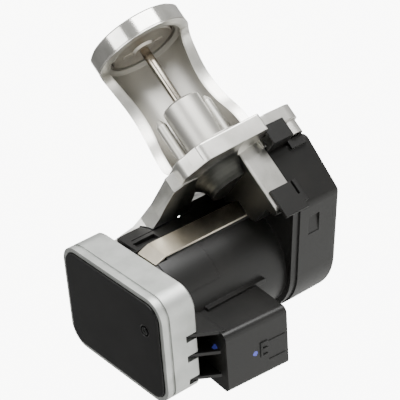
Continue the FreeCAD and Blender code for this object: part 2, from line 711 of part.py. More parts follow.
def cover_tangent():
    # Where the straight lower side meets the round end about the motor.
    y, z = COVER_LOW_FRONT
    d = math.hypot(MOTOR_Y - y, MOTOR_Z - z)
    a = math.atan2(MOTOR_Z - z, MOTOR_Y - y) - math.asin(COVER_R / d)
    run = math.sqrt(d * d - COVER_R ** 2)
    return y + run * math.cos(a), z + run * math.sin(a)


def cover_outline(inset, x):
    # Outline of the gear cover in the YZ plane, moved inwards by inset.
    y1, z1 = COVER_LOW_FRONT
    y2, z2 = cover_tangent()
    p0 = Vector(x, COVER_TOP_FRONT[0], COVER_TOP_FRONT[1])
    p1 = Vector(x, y1, z1)
    p2 = Vector(x, y2, z2)
    p3 = Vector(x, MOTOR_Y + COVER_R * math.cos(math.radians(-20)), MOTOR_Z + COVER_R * math.sin(math.radians(-20)))
    p4 = Vector(x, MOTOR_Y, MOTOR_Z + COVER_R)
    edges = [Part.makeLine(p0, p1), Part.makeLine(p1, p2), Part.Arc(p2, p3, p4).toShape(), Part.makeLine(p4, p0)]
    face = Part.Face(Part.Wire(edges))
    if inset > 0:
        face = face.makeOffset2D(-inset, 2, False, False, True)
    return face


def cover_solid(inset, x0, x1, corner):
    solid = cover_outline(inset, x0).extrude(Vector(x1 - x0, 0, 0))
    return fillet_where(solid, corner, lambda e: e.BoundBox.XLength > x1 - x0 - 0.1 and e.BoundBox.YMax < 0)


def gear_cover():
    outer = cover_solid(0.0, COVER_X0, COVER_X1, 4.0)
    outer = fillet_where(outer, COVER_EDGE_R, lambda e: e.BoundBox.XLength < 0.01 and abs(e.BoundBox.XMin - COVER_X1) < 0.01)
    inner = cover_solid(COVER_WALL, COVER_X0 - 1, COVER_X1 - COVER_WALL, 1.8)
    cover = outer.cut(inner)
    lip = box(25.0, 34.0, -18.4, -14.0, -19.0, -13.5)
    step = box(COVER_X0, COVER_X0 + 11.5, TAB_Y, -15.5, -15.0, -FLANGE_T - GAP)
    step = step.fuse(box(COVER_X0, COVER_X0 + 11.5, TAB_Y, TAB_Y + TAB_T, -15.0, -5.6))
    step = step.cut(box(COVER_X0 - 1, 26.9, CASE_FRONT - 1.6 - GAP, 0, -12.6 - GAP, -FLANGE_T + 1))
    low = box(1.5, COVER_X0 + 1, -19.0, -17.0 - 0.2, -46.0, -32.0)
    low = low.fuse(box(COVER_X0, COVER_X0 + 3, -19.0, -10.5, -43.0, -32.0))
    cover = cover.fuse([lip, step, low])
    cover = cover.cut(box(13.3, 14.6, -20, -17.1, -39.0, -31.6))
    recess = to_motor(box(19.0, 25.5, COVER_R + 1.8, COVER_R + 6, -29.0, -19.0))
    cover = cover.cut(recess)
    cover = cover.cut(flange_plate_room()).cut(seal_ring(FIT))
    post = ring_x(AXLE_R + 2.2, AXLE_R + FIT, GEAR_X0 + GEAR_FACE + 0.6 + LARGE_FACE + GAP, COVER_X1 - COVER_WALL + 0.2, MID_Y, MID_Z)
    return cover.fuse(post).removeSplitter()


def flange_plate_room():
    # Keeps the cover clear of the flange bolt bosses.
    room = None
    for side in (-1, 1):
        peg = cyl(BOLT_BOSS_R + 0.6, -BOLT_BOSS_L - 0.4, 1, BOLT_X, side * BOLT_SPACING / 2)
        room = peg if room is None else room.fuse(peg)
    return room


def seal_ring(extra):
    inset = (COVER_WALL - SEAL_W) / 2
    outer = cover_solid(inset - extra, CASE_X1 + 0.05, COVER_X0 + SEAL_D + extra, 3.3)
    inner = cover_solid(inset + SEAL_W + extra, CASE_X1 - 1, COVER_X0 + SEAL_D + 1, 2.4)
    return outer.cut(inner)


def motor_housing():
    body = cyl_x(BODY_R, BODY_X0 + 0.05, CASE_X1, MOTOR_Y, MOTOR_Z)
    flat = to_motor(box(BODY_X0 + 1.0, CASE_X1 - 1.3, SHOULDER_U0, SHOULDER_U1, -SHOULDER_V, 0))
    end = cover_solid(0.8, CASE_X1 - BODY_END_T, CASE_X1, 3.2)
    case = case_block(0, 20, GAP).fuse(shaft_boss(0, 20, GAP))
    end = end.cut(case.cut(body_envelope(0.0))).cut(cyl_x(CAN_R, 0, CASE_X1 - BODY_END_T, MOTOR_Y, MOTOR_Z))
    panel = ring_x(BODY_R + 0.5, BODY_R - 1, -50.0, -26.5, 0, 0)
    wedge = prism_x([(0, 0), (0, -60), (52, -60), (60 * math.sin(math.radians(59.5)), -60 * math.cos(math.radians(59.5)))], -60, 0)
    panel = to_motor(panel.common(wedge))
    rib_u = BODY_R * math.sin(math.radians(82))
    rib_v = -BODY_R * math.cos(math.radians(82))
    rib = to_motor(box(-38.5, -4.8, rib_u - 2, rib_u + 2.4, rib_v - 1.2, rib_v + 1.2))
    block = connector_block()
    above = to_motor(box(BODY_X0 - 1, CASE_X1 - BODY_END_T, SHOULDER_U0 - 1, STRAP_U1 + GAP, -SHOULDER_V - 5, -SHOULDER_V))
    solid = body.fuse([flat, panel]).cut(above).fuse([end, rib, block])
    solid = solid.cut(cyl_x(BODY_BORE_R, BODY_X0 - 1, CASE_X1 - BODY_END_T, MOTOR_Y, MOTOR_Z))
    solid = solid.cut(connector_socket()).cut(arm(0.3))
    solid = solid.cut(cyl_x(BEARING_R + FIT, 0, CASE_X1 - 0.2, MOTOR_Y, MOTOR_Z))
    solid = solid.cut(cyl_x(ROTOR_SHAFT_R + 1.0, 0, CASE_X1 + 1, MOTOR_Y, MOTOR_Z))
    solid = solid.cut(cyl_x(AXLE_R + FIT, CASE_X1 - 2.5, CASE_X1 + 1, MID_Y, MID_Z))
    slot = to_motor(box(-48, -26, -12.6, -12.0, -SHOULDER_V - 1, -SHOULDER_V + 1))
    recess = to_motor(box(-49, -37, -10.0, -6.0, -SHOULDER_V - 1, -SHOULDER_V + 2))
    end = STRAP_X0 - STRAP_TAB
    bed = box(end - 2, STRAP_X0 + GAP, STRAP_U0 - GAP, STRAP_U1 + GAP, -SHOULDER_V - 1, -SHOULDER_V + STRAP_DROP + GAP)
    return solid.cut(slot).cut(recess).cut(to_motor(bed)).removeSplitter()


def tilt(shape):
    out = shape.copy()
    out.rotate(Vector(CONN_X0, BODY_R, 0), Vector(0, 0, 1), CONN_TILT)
    return out


def connector_block():
    block = box(CONN_X0, CONN_X1, BODY_BORE_R - 10.0, CONN_U1, CONN_V0, CONN_V1)
    block = fillet_where(block, 3.0, lambda e: e.BoundBox.XLength > 20 and e.BoundBox.YMin > CONN_U1 - 1)
    parts = [tilt(block)]
    for v in GUSSET_V:
        plan = [(GUSSET_X0, BOX_CENTRE_U + BOX_HALF_U - 2.2), (CONN_X0 + 1, CONN_U1 - 3.0), (CONN_X0 + 1, 18.0), (BOX_X1 + 0.5, 18.0)]
        plan += [(BOX_X1 + 0.5, BOX_CENTRE_U + BOX_HALF_U - 2.8), (GUSSET_X0, BOX_CENTRE_U + BOX_HALF_U - 2.6)]
        parts.append(prism_z(plan, v - GUSSET_T / 2, v + GUSSET_T / 2))
    whole = parts[0].fuse(parts[1:])
    return to_motor(whole)


def connector_socket():
    w = CONN_WALL
    room = box(CONN_X1 - CONN_DEPTH, CONN_X1 + 1, BODY_R + 3.0, CONN_U1 - w, CONN_V0 + w, CONN_V1 - w)
    room = fillet_where(room, 2.0, lambda e: e.BoundBox.XLength > 10)
    return to_motor(tilt(room))


def connector_terminals():
    mid_u = (BODY_R + 3.0 + CONN_U1 - CONN_WALL) / 2
    mid_v = (CONN_V0 + CONN_V1) / 2
    pins = []
    for k in range(PIN_COUNT):
        v = mid_v + (k - (PIN_COUNT - 1) / 2) * PIN_PITCH
        x0 = CONN_X1 - CONN_DEPTH
        pin = box(x0, x0 + 9.0, mid_u - 0.4, mid_u + 0.4, v - 0.8, v + 0.8)
        pins.append(to_motor(tilt(pin)))
    return Part.makeCompound(pins)


def strap_clip():
    v = -SHOULDER_V - STRAP_LIFT
    flat = box(STRAP_X0, STRAP_X1, STRAP_U0, STRAP_U1, v - STRAP_T, v)
    end = STRAP_X0 - STRAP_TAB
    bend = [(STRAP_X0, v), (STRAP_X0, v - STRAP_T), (end, v - STRAP_T + STRAP_DROP), (end, v + STRAP_DROP)]
    wire = Part.makePolygon([Vector(x, STRAP_U0, z) for x, z in bend + bend[:1]])
    tab = Part.Face(wire).extrude(Vector(0, STRAP_U1 - STRAP_U0, 0))
    return to_motor(flat.fuse(tab).removeSplitter())


def electronics_box():
    cu, cv = BOX_CENTRE_U, BOX_CENTRE_V
    g = LIP_GROOVE_D
    lip = rounded_x(BOX_X0, BOX_X0 + LIP_T, BOX_HALF_U, BOX_HALF_V, BOX_CORNER, cu, cv)
    waist = rounded_x(BOX_X0 + LIP_T, BOX_X0 + LIP_T + LIP_GROOVE_W, BOX_HALF_U - g, BOX_HALF_V - g, BOX_CORNER - g, cu, cv)
    main = rounded_x(BOX_X0 + LIP_T + LIP_GROOVE_W, BOX_X1, BOX_HALF_U, BOX_HALF_V, BOX_CORNER, cu, cv)
    main = chamfer_where(main, 1.0, lambda e: e.BoundBox.XLength < 0.01 and abs(e.BoundBox.XMin - BOX_X1) < 0.01)
    i = CAP_INSET - CAP_GAP
    seat = rounded_x(BOX_X0 - 1, BOX_X0 + CAP_SINK + CAP_T, BOX_HALF_U - i, BOX_HALF_V - i, BOX_CORNER - i, cu, cv)
    w = BOX_WALL + BOX_STEP
    room = rounded_x(BOX_X0, BOX_X1 - BOX_FLOOR, BOX_HALF_U - w, BOX_HALF_V - w, BOX_CORNER - w, cu, cv)
    solid = lip.fuse([waist, main]).cut(seat).cut(room)
    for v in GUSSET_V:
        pocket = box(GUSSET_X0 - 1.5, BOX_X1 + 1, cu + BOX_HALF_U - 3.2, cu + BOX_HALF_U + 1, v - 1.7, v + 1.7)
        solid = solid.cut(pocket)
    solid = solid.cut(cyl_x(BEARING_R + 2.5, BOX_X1 - 5, BOX_X1 + 1, 0, 0))
    for su, sv in ((-1, -1), (-1, 1), (1, -1), (1, 1)):
        post_u = cu + su * (BOARD_HALF_U - POST_R)
        post_v = cv + sv * (BOARD_HALF_V - POST_R)
        post = cyl_x(POST_R, BOARD_X1, BOX_X1 - BOX_FLOOR, post_u, post_v)
        solid = solid.fuse(post)
    return to_motor(solid.removeSplitter())


def electronics_cover():
    i = CAP_INSET
    x0 = BOX_X0 + CAP_SINK
    cap = rounded_x(x0, x0 + CAP_T, BOX_HALF_U - i, BOX_HALF_V - i, BOX_CORNER - i, BOX_CENTRE_U, BOX_CENTRE_V)
    mark_u = BOX_CENTRE_U + BOX_HALF_U - MARK_IN_U
    mark_v = BOX_CENTRE_V - BOX_HALF_V + MARK_IN_V
    mark = ring_x(1.7, 1.0, x0 - 0.3, x0 + 0.1, mark_u, mark_v)
    return to_motor(cap.fuse(mark).removeSplitter())


def circuit_board():
    board = rounded_x(BOARD_X1 - BOARD_T, BOARD_X1, BOARD_HALF_U, BOARD_HALF_V, 3.0, BOX_CENTRE_U, BOX_CENTRE_V)
    return to_motor(board)


def save(name, shape):
    solids = shape.Solids
    if len(solids) != 1 or not shape.isValid():
        print(name, "solids", len(solids), "valid", shape.isValid())
    if shape.ShapeType == "Compound" and len(solids) == 1:
        shape = solids[0]
    shape.exportStep("parts/" + name + ".step")


NODES = [
    ("valve_housing", valve_housing), ("seat_ring", seat_ring), ("valve_disc", valve_disc),
    ("valve_stem", valve_stem), ("stem_bush", stem_bush), ("stem_seal", stem_seal),
    ("return_spring", return_spring), ("stem_yoke", stem_yoke), ("output_shaft", output_shaft),
    ("crank_arm", crank_arm), ("crank_roller", crank_roller), ("bearing_plate", bearing_plate),
    ("shaft_bush", shaft_bush), ("output_gear", output_gear), ("sensor_magnet", sensor_magnet),
    ("intermediate_gear", intermediate_gear), ("intermediate_axle", intermediate_axle),
    ("motor_pinion", motor_pinion), ("motor_shaft", motor_shaft), ("armature", armature),
    ("commutator", commutator), ("brushes", brushes), ("brush_card", brush_card), ("motor_can", motor_can),
    ("motor_magnets", motor_magnets), ("motor_bearings", motor_bearings), ("motor_housing", motor_housing),
    ("connector_terminals", connector_terminals), ("gear_cover", gear_cover), ("strap_clip", strap_clip),
    ("electronics_box", electronics_box), ("electronics_cover", electronics_cover), ("circuit_board", circuit_board),
]

for node, make in NODES:
    save(node, make())

save("cover_seal", seal_ring(0.0))
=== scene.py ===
import json
import math

import bpy
from mathutils import Matrix, Vector


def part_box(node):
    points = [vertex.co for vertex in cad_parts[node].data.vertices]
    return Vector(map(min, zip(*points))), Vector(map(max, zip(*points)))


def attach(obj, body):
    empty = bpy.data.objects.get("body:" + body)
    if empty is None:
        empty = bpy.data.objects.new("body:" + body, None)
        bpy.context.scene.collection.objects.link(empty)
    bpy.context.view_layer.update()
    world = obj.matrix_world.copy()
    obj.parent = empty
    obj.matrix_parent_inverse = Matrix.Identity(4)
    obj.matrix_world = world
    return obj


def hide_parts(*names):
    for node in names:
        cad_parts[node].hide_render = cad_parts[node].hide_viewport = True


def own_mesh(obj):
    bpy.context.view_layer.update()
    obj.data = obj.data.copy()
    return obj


# Exhaust gas recirculation valve: finishes, small visible detail, light and camera.
# The part's own frame: +Z along the stem, X along the motor axis.
# Sizes of the object are named in millimetres and go through mm(). Light and camera places are metres.

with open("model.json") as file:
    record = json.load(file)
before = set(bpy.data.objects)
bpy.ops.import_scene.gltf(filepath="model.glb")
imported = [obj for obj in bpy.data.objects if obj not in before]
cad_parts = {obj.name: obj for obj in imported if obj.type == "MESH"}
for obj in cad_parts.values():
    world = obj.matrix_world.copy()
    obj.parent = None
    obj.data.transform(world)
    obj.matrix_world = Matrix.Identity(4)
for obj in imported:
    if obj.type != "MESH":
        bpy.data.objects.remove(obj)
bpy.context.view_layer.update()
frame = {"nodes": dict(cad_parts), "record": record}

# Motor axis, and how far the motor housing leans about it
MOTOR_Y = 35.7
MOTOR_Z = -40.4
MOTOR_LEAN = 38.3
BODY_R = 26.5

# Connector block, in x along the motor and u, v across it
CONN_X0 = -43.5
CONN_FACE_U = 48.0
CONN_TILT = 4.5

# Latch moulded on the connector's end face
UPRIGHT_X = (-25.4, -24.2)
UPRIGHT_V = (8.6, 16.6)
TOOTH_X = (-24.6, -21.4)
TOOTH_V = (8.6, 9.6)
TOOTH_PITCH = 3.5
TOOTH_COUNT = 3
LINE_X = (-20.6, -11.6)
LINE_V = (9.4, 9.9)
LINE_PITCH = 10.2
LINE_COUNT = 2
LATCH_RISE = 0.5
LINE_RISE = 0.3
BAR_SINK = 0.2
BAR_EDGE = 0.12
BAR_EDGE_STEPS = 2
SMOOTH_ANGLE = math.radians(35)

# Return spring
SPRING_WIRE = 1.3
SPRING_TURNS = 4
WIRE_SIDES = 16
STEPS_PER_TURN = 40
WELD = 0.001

# Dabs of inspection paint on the motor housing: x, u, v and size.
# Their rims wander between two shares of the size.
PAINT_BLUE = "4a4fa8"
PAINT_DABS = ((-44.8, 39.6, 6.7, 1.5), (-29.8, 49.0, 13.2, 1.3))
PAINT_WOBBLE = 1.1111
PAINT_DETAIL = 2.0
PAINT_RIM = (0.7, 1.3)

# Sunk ring near the corner of the electronics cover.
# Its wall slopes between two distances from its line.
RING_U = 25.25
RING_V = -8.4
RING_R = 2.3
RING_WALL = (0.8, 0.32)
RING_DEPTH = 0.5
# The ring's near black and low shine are painted shade in its groove
RING_SHADE_BLACK = "010101"
RING_SHADE_SPECULAR = 0.02

# Zones of the valve casting. Each pair goes from outside the zone to inside it.
BORE_WALL = (20.6, 19.8)
ABOVE_FLANGE = (0.5, 1.5)
# The bore's darker grey is painted shade inside it; its roughness is the duller wall
BORE_SHADE_GREY = "b2b0aa"
BORE_ROUGH = 0.42
# Painted shade under the flange: dark grey laid below it, away from the gear case's front face, fading out
# along the arm
BEHIND_FRONT_FACE = (-16.8, -16.2)
LEFT_OF_AXIS = (0.0, -0.6)
BELOW_FLANGE = (-8.2, -9.2)
ARM_FADE = (-34.0, -22.0)
UNDER_FLANGE_SHADE_GREY = "3a3a37"
UNDER_FLANGE_ROUGH = 0.4
BAND_HEIGHT = (59.0, 59.4)
BAND_WALL = (22.8, 23.4)
BAND_ROUGH = 0.13

# Heat tint of the stem, from its first trace to its full colour
TINT_Z = (46.0, 74.0)
TINT_BROWN = "6a5230"

# Patches in which the tone drifts, and where the two tones lie in the drift
METAL_PATCH = 12.5
PLASTIC_PATCH = 16.667
PATCH_DETAIL = 3.0
TONE_STOPS = (0.3, 0.7)

# Broken edges, and the grain: its finest detail, its depth, and how far the roughness spreads
BROKEN_EDGE = 0.3
EDGE_SAMPLES = 4
METAL_DETAIL = 4.0
METAL_RELIEF = 0.05
METAL_SHEEN = (-0.07, 0.07)
PLASTIC_DETAIL = 3.0
PLASTIC_RELIEF = 0.03
PLASTIC_SHEEN = (-0.05, 0.06)
PLASTIC_SPECULAR = 0.3

# Sockets of the Mix node, which share their names
MIX_FACTOR = 0
MIX_FLOATS = (2, 3)
MIX_FLOAT_OUT = 0
MIX_COLOURS = (6, 7)
MIX_COLOUR_OUT = 2

# Camera of the photograph
CAM_PLACE = Vector((-0.3750, -0.5753, -0.1566))
CAM_RIGHT = Vector((0.7688, -0.3441, -0.5390))
CAM_UP = Vector((0.3795, -0.4329, 0.8177))
CAM_VIEW = Vector((0.5147, 0.8332, 0.2023))
CAM_LENS = 139.1
CAM_SENSOR = 36.0
CAM_CLIP = (0.01, 20.0)

# Light: the room's glow from below to above, the white wall straight behind the part, and two
# softboxes, each placed so far right, up and towards the camera from their target
LIGHT_TARGET = Vector((-0.015, 0.01, -0.02))
ROOM_SLOPE = 0.7
ROOM_GLOW = (0.12, 0.85)
WALL_EDGE = (0.93, 0.97)
WALL_GLOW = 9.0
WALL_COLOUR = "fdfdfb"
TOP_PLACE = (0.0, 0.5, 0.25)
TOP_BOX = (0.5, 0.35)
TOP_POWER = 9.0
SIDE_PLACE = (-0.45, 0.2, 0.3)
SIDE_BOX = (0.35, 0.5)
SIDE_POWER = 4.0
FLOOR_SIZE = 6.0
FLOOR_Z = -0.27
PAPER_WHITE = "f4f4f2"
PAPER_ROUGH = 0.8


def mm(value):
    # Millimetres to metres
    return value / 1000.0


def srgb(code):
    # Linear colour of an sRGB hex code
    values = []
    for k in (0, 2, 4):
        share = int(code[k:k + 2], 16) / 255.0
        values.append(share / 12.92 if share <= 0.04045 else ((share + 0.055) / 1.055) ** 2.4)
    return (values[0], values[1], values[2], 1.0)


def motor_place(x, u, v):
    # Point at x along the motor axis and u, v across it
    s = math.sin(math.radians(MOTOR_LEAN))
    c = math.cos(math.radians(MOTOR_LEAN))
    return Vector((mm(x), mm(MOTOR_Y + c * v - s * u), mm(MOTOR_Z - c * u - s * v)))


def node(tree, kind, settings=None, inputs=None):
    # Adds one shader node. An input is a value, or another node's socket to link.
    made = tree.nodes.new(kind)
    for key, value in (settings or {}).items():
        setattr(made, key, value)
    for key, value in (inputs or {}).items():
        if isinstance(value, bpy.types.NodeSocket):
            tree.links.new(value, made.inputs[key])
        else:
            made.inputs[key].default_value = value
    return made


def material(name):
    # New material, its node tree and its surface shader
    mat = bpy.data.materials.new(name)
    mat.use_nodes = True
    return mat, mat.node_tree, mat.node_tree.nodes["Principled BSDF"]


def patchy_tone(tree, bsdf, dark, light, patch):
    # Colour that drifts between two close tones. Gives back the drift.
    coords = node(tree, "ShaderNodeTexCoord")
    inputs = {"Vector": coords.outputs["Object"], "Scale": 1.0 / mm(patch), "Detail": PATCH_DETAIL}
    patches = node(tree, "ShaderNodeTexNoise", {}, inputs)
    tone = node(tree, "ShaderNodeValToRGB", {}, {"Fac": patches.outputs["Fac"]})
    ends = tone.color_ramp.elements
    ends[0].position = TONE_STOPS[0]
    ends[0].color = srgb(dark)
    ends[1].position = TONE_STOPS[1]
    ends[1].color = srgb(light)
    tree.links.new(tone.outputs["Color"], bsdf.inputs["Base Color"])
    return patches.outputs["Fac"]


def surface_grain(tree, bsdf, grain, detail, strength, depth):
    # Fine relief, over edges that are slightly rounded off. Gives back the grain.
    # It is drawn coarser than the real grain, which is too fine to show in the render.
    coords = node(tree, "ShaderNodeTexCoord")
    inputs = {"Vector": coords.outputs["Object"], "Scale": 1.0 / mm(grain), "Detail": detail}
    grains = node(tree, "ShaderNodeTexNoise", {}, inputs)
    edges = node(tree, "ShaderNodeBevel", {"samples": EDGE_SAMPLES}, {"Radius": mm(BROKEN_EDGE)})
    inputs = {"Height": grains.outputs["Fac"], "Strength": strength, "Distance": mm(depth)}
    relief = node(tree, "ShaderNodeBump", {}, inputs)
    tree.links.new(edges.outputs["Normal"], relief.inputs["Normal"])
    tree.links.new(relief.outputs["Normal"], bsdf.inputs["Normal"])
    return grains.outputs["Fac"]


def uneven_sheen(tree, bsdf, pattern, rough, spread):
    # Roughness that follows a pattern, from a little below to a little above its middle value
    inputs = {"Value": pattern, "To Min": rough + spread[0], "To Max": rough + spread[1]}
    sheen = node(tree, "ShaderNodeMapRange", {}, inputs)
    tree.links.new(sheen.outputs["Result"], bsdf.inputs["Roughness"])


def metal(name, dark, light, rough, grain, strength):
    # Bare metal: the tone drifts, and the grain breaks up the reflections.
    mat, tree, bsdf = material(name)
    bsdf.inputs["Metallic"].default_value = 1.0
    patchy_tone(tree, bsdf, dark, light, METAL_PATCH)
    grains = surface_grain(tree, bsdf, grain, METAL_DETAIL, strength, METAL_RELIEF)
    uneven_sheen(tree, bsdf, grains, rough, METAL_SHEEN)
    return mat


def plastic(name, dark, light, rough, grain, strength):
    # Moulded plastic: the grain of its mould, and a sheen that drifts.
    mat, tree, bsdf = material(name)
    bsdf.inputs["Specular IOR Level"].default_value = PLASTIC_SPECULAR
    drift = patchy_tone(tree, bsdf, dark, light, PLASTIC_PATCH)
    uneven_sheen(tree, bsdf, drift, rough, PLASTIC_SHEEN)
    surface_grain(tree, bsdf, grain, PLASTIC_DETAIL, strength, PLASTIC_RELIEF)
    return mat


def zone(tree, edges, within=1.0):
    # Soft-edged part of a piece, 1 inside and 0 outside. An edge is a coordinate and its two limits.
    inside = within
    for coordinate, outer, inner in edges:
        inputs = {"Value": coordinate, "From Min": mm(outer), "From Max": mm(inner), "To Max": inside}
        inside = node(tree, "ShaderNodeMapRange", {}, inputs).outputs["Result"]
    return inside


def coat(tree, bsdf, where, colour=None, rough=None):
    # Lays another colour or roughness over the finish inside a zone
    if colour:
        under = bsdf.inputs["Base Color"].links[0].from_socket
        inputs = {MIX_FACTOR: where, MIX_COLOURS[0]: under, MIX_COLOURS[1]: srgb(colour)}
        over = node(tree, "ShaderNodeMix", {"data_type": "RGBA"}, inputs)
        tree.links.new(over.outputs[MIX_COLOUR_OUT], bsdf.inputs["Base Color"])
    if rough:
        under = bsdf.inputs["Roughness"].links[0].from_socket
        inputs = {MIX_FACTOR: where, MIX_FLOATS[0]: under, MIX_FLOATS[1]: rough}
        over = node(tree, "ShaderNodeMix", {"data_type": "FLOAT"}, inputs)
        tree.links.new(over.outputs[MIX_FLOAT_OUT], bsdf.inputs["Roughness"])


def valve_casting():
    # Die-cast aluminium, machined outside: pale, with a duller bore that stayed as cast, painted darker
    # grey as the shade inside it, painted shade in dark grey under the flange, and a bright turned band at
    # the free end.
    mat = metal("machined_die_cast_aluminium", "b6b5af", "d8d6d1", 0.3, 0.35, 0.25)
    tree = mat.node_tree
    bsdf = tree.nodes["Principled BSDF"]
    here = node(tree, "ShaderNodeTexCoord").outputs["Object"]
    place = node(tree, "ShaderNodeSeparateXYZ", {}, {"Vector": here})
    x = place.outputs["X"]
    y = place.outputs["Y"]
    z = place.outputs["Z"]
    across = node(tree, "ShaderNodeVectorMath", {"operation": "MULTIPLY"}, {0: here, 1: (1.0, 1.0, 0.0)})
    length = node(tree, "ShaderNodeVectorMath", {"operation": "LENGTH"}, {0: across.outputs["Vector"]})
    radius = length.outputs["Value"]
    bore = zone(tree, [(z, *ABOVE_FLANGE), (radius, *BORE_WALL)])
    # Painted shade in the bore, with a rougher finish there
    coat(tree, bsdf, bore, BORE_SHADE_GREY, BORE_ROUGH)
    behind = zone(tree, [(y, *BEHIND_FRONT_FACE)])
    left = zone(tree, [(x, *LEFT_OF_AXIS)])
    off_face = node(tree, "ShaderNodeMath", {"operation": "MAXIMUM"}, {0: behind, 1: left})
    under = [(z, *BELOW_FLANGE), (x, *ARM_FADE)]
    # Painted shade: dark grey below the flange, off the gear case's front face
    under_flange_shade = zone(tree, under, within=off_face.outputs["Value"])
    coat(tree, bsdf, under_flange_shade, UNDER_FLANGE_SHADE_GREY, UNDER_FLANGE_ROUGH)
    band = zone(tree, [(z, *BAND_HEIGHT), (radius, *BAND_WALL)])
    coat(tree, bsdf, band, rough=BAND_ROUGH)
    return mat


def heated_stem():
    # Ground steel: narrow highlight between dark sides, going straw brown towards the hot disc.
    mat = metal("ground_steel_heat_tinted", "7d766b", "a39d92", 0.14, 0.3, 0.1)
    tree = mat.node_tree
    bsdf = tree.nodes["Principled BSDF"]
    here = node(tree, "ShaderNodeTexCoord").outputs["Object"]
    place = node(tree, "ShaderNodeSeparateXYZ", {}, {"Vector": here})
    coat(tree, bsdf, zone(tree, [(place.outputs["Z"], *TINT_Z)]), TINT_BROWN)
    return mat


def housing_with_paint():
    # Glass-filled nylon, near black with a wide soft highlight, and two uneven dabs of blue paint.
    mat = plastic("moulded_glass_nylon_with_paint", "080807", "0e0d0b", 0.42, 0.25, 0.2)
    tree = mat.node_tree
    bsdf = tree.nodes["Principled BSDF"]
    here = node(tree, "ShaderNodeTexCoord").outputs["Object"]
    inputs = {"Vector": here, "Scale": 1.0 / mm(PAINT_WOBBLE), "Detail": PAINT_DETAIL}
    wobble = node(tree, "ShaderNodeTexNoise", {}, inputs)
    for x, u, v, size in PAINT_DABS:
        middle = tuple(motor_place(x, u, v))
        away = node(tree, "ShaderNodeVectorMath", {"operation": "DISTANCE"}, {0: here, 1: middle})
        near, far = (mm(share * size) for share in PAINT_RIM)
        inputs = {"Value": wobble.outputs["Fac"], "To Min": near, "To Max": far}
        rim = node(tree, "ShaderNodeMapRange", {}, inputs)
        inputs = {0: away.outputs["Value"], 1: rim.outputs["Result"]}
        dab = node(tree, "ShaderNodeMath", {"operation": "LESS_THAN"}, inputs)
        coat(tree, bsdf, dab.outputs["Value"], PAINT_BLUE)
    return mat


def cover_with_ring():
    # Smooth moulded plastic: soft reflections, and one sunk circle painted near black and without shine as
    # the shade in its groove, whose walls catch some light.
    mat = plastic("smooth_moulded_plastic_with_ring", "070707", "0d0d0d", 0.3, 0.3, 0.05)
    tree = mat.node_tree
    bsdf = tree.nodes["Principled BSDF"]
    here = node(tree, "ShaderNodeTexCoord").outputs["Object"]
    face_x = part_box("electronics_cover")[0][0] * 1000.0
    middle = tuple(motor_place(face_x, RING_U, RING_V))
    away = node(tree, "ShaderNodeVectorMath", {"operation": "DISTANCE"}, {0: here, 1: middle})
    inputs = {0: away.outputs["Value"], 1: mm(RING_R)}
    past = node(tree, "ShaderNodeMath", {"operation": "SUBTRACT"}, inputs)
    off = node(tree, "ShaderNodeMath", {"operation": "ABSOLUTE"}, {0: past.outputs["Value"]})
    ring = zone(tree, [(off.outputs["Value"], *RING_WALL)])
    # Painted shade: the ring near black, with its shine taken away
    coat(tree, bsdf, ring, RING_SHADE_BLACK)
    inputs = {"Value": ring, "To Min": PLASTIC_SPECULAR, "To Max": RING_SHADE_SPECULAR}
    dull = node(tree, "ShaderNodeMapRange", {}, inputs)
    tree.links.new(dull.outputs["Result"], bsdf.inputs["Specular IOR Level"])
    smooth = bsdf.inputs["Normal"].links[0].from_socket
    inputs = {"Height": ring, "Strength": 1.0, "Distance": mm(RING_DEPTH), "Normal": smooth}
    sunk = node(tree, "ShaderNodeBump", {"invert": True}, inputs)
    tree.links.new(sunk.outputs["Normal"], bsdf.inputs["Normal"])
    return mat


# Polyester of the connector's latch: more matt than the housing, so its edges read softer.
CONNECTOR_PLASTIC = plastic("moulded_polyester", "070706", "0c0c0b", 0.5, 0.2, 0.3)

# Finishes by the record's material slot. Each has its name, darker and lighter tone, roughness,
# size of the grain in millimetres and strength of its relief.
BY_SLOT = {
    # Blasted casting: darker and flatter than the valve casting, with no clear reflection.
    "box_aluminium": metal("blasted_cast_aluminium", "a3a5a2", "bcbebb", 0.5, 0.5, 0.5),
    # Glass-filled nylon: near black, with a wide soft highlight.
    "black_plastic": plastic("moulded_glass_nylon", "080807", "0e0d0b", 0.42, 0.25, 0.2),
    # Rolled stainless strip: warm and even, with blurred reflections.
    "polished_steel": metal("rolled_stainless_steel", "cbc1ae", "e2dac8", 0.32, 0.6, 0.05),
    # Ground shafts: clear narrow highlights.
    "ground_steel": metal("ground_steel", "b5b1ab", "cfccc6", 0.2, 0.3, 0.1),
    # Valve steel that has been hot: darker and duller.
    "heat_steel": metal("forged_valve_steel", "8d877f", "a9a49b", 0.35, 0.3, 0.2),
    # Drawn wire and pressed sheet: neutral grey with a satin shine.
    "spring_steel": metal("drawn_spring_steel", "8a8a88", "a5a5a2", 0.3, 0.3, 0.1),
    # Sintered bushes: golden brown and grainy.
    "bronze": metal("sintered_bronze", "a98a55", "c2a36b", 0.35, 0.25, 0.3),
    # Turned copper alloy: reddish, with a faint grain.
    "copper": metal("turned_copper", "b0714a", "c98a60", 0.3, 0.3, 0.2),
    # Gears: cream coloured, with a soft sheen.
    "gear_nylon": plastic("moulded_natural_nylon", "cfc7ad", "ddd6bf", 0.5, 0.3, 0.1),
    # Brushes: soot grey and matt.
    "carbon": plastic("pressed_carbon", "1c1c1d", "2a2a2b", 0.6, 0.2, 0.3),
    # Magnets: dark bluish grey and matt.
    "ferrite": plastic("sintered_ferrite", "2a2b2d", "38393b", 0.6, 0.2, 0.3),
    # Seals: deep grey with hardly any shine.
    "seal_rubber": plastic("moulded_rubber", "141414", "1d1d1d", 0.65, 0.2, 0.2),
    # Circuit board: green lacquer with a faint grain.
    "board_green": plastic("lacquered_glass_board", "0f4a26", "15602f", 0.4, 0.4, 0.1),
}

